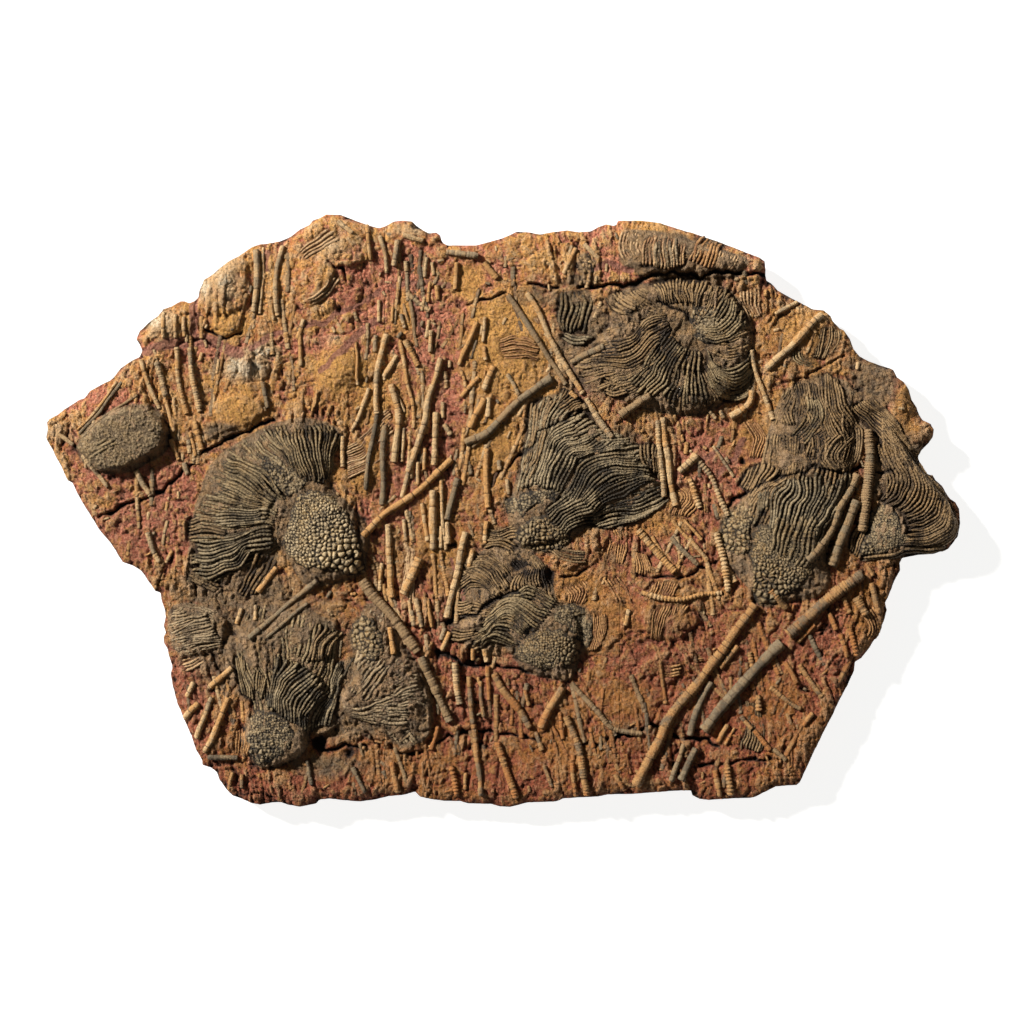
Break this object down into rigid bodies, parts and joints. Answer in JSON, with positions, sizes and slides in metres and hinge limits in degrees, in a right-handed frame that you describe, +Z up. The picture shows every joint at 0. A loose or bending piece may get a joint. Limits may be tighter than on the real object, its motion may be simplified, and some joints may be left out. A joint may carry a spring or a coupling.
{
  "type": "crinoid fossil slab",
  "caption": "Loose plate of red and ochre rock with sea lily crowns and stems standing out of its upper face, lying on its flat back.",
  "frame": {"origin": "middle of the slab's box at the level of its flat back", "axes": "+X along the slab's length, from its pointed end to its broad end; +Y across it; +Z up out of the fossil face"},
  "size_m": [1.005, 0.6506, 0.0524],
  "materials": {
    "rock": "rough red and ochre mudstone, matt",
    "crown": "grey-brown to olive fossil calcite, dull with pale worn ridges",
    "stem": "tan and ochre fossil calcite, ringed, slightly smooth"
  },
  "bodies": {
    "root": {"crown_centre": "crown", "crown_east": "crown", "crown_far_east": "crown", "crown_north": "crown", "crown_south": "crown", "crown_south_mass": "crown", "crown_southwest": "crown", "crown_tip": "crown", "crown_west": "crown", "crown_west_fan": "crown", "crown_whorl": "crown", "matrix_slab": "rock", "stem_boulder": "stem", "stem_cross_east": "stem", "stem_crown_west": "stem", "stem_crown_west_tail": "stem", "stem_diagonal_middle": "stem", "stem_diagonal_north": "stem", "stem_edge_a": "stem", "stem_elbow": "stem", "stem_fork_left": "stem", "stem_fork_right": "stem", "stem_inner_a": "stem", "stem_inner_b": "stem", "stem_inner_d": "stem", "stem_log_a": "stem", "stem_log_b": "stem", "stem_long_left": "stem", "stem_long_right": "stem", "stem_main_east": "stem", "stem_main_east_a": "stem", "stem_main_east_b": "stem", "stem_middle_a": "stem", "stem_middle_b": "stem", "stem_north_a": "stem", "stem_north_b": "stem", "stem_north_c": "stem", "stem_north_d": "stem", "stem_north_e": "stem", "stem_north_east": "stem", "stem_north_f": "stem", "stem_on_east_a": "stem", "stem_on_east_b": "stem", "stem_on_east_c": "stem", "stem_ridge": "stem", "stem_slant_a": "stem", "stem_slant_b": "stem", "stem_south_a": "stem", "stem_south_b": "stem", "stem_south_c": "stem", "stem_south_d": "stem", "stem_south_e": "stem", "stem_upright_b": "stem", "stem_upright_c": "stem", "stem_upright_d": "stem", "stem_west_a": "stem", "stem_west_b": "stem", "stem_west_c": "stem"}
  },
  "joints": []
}
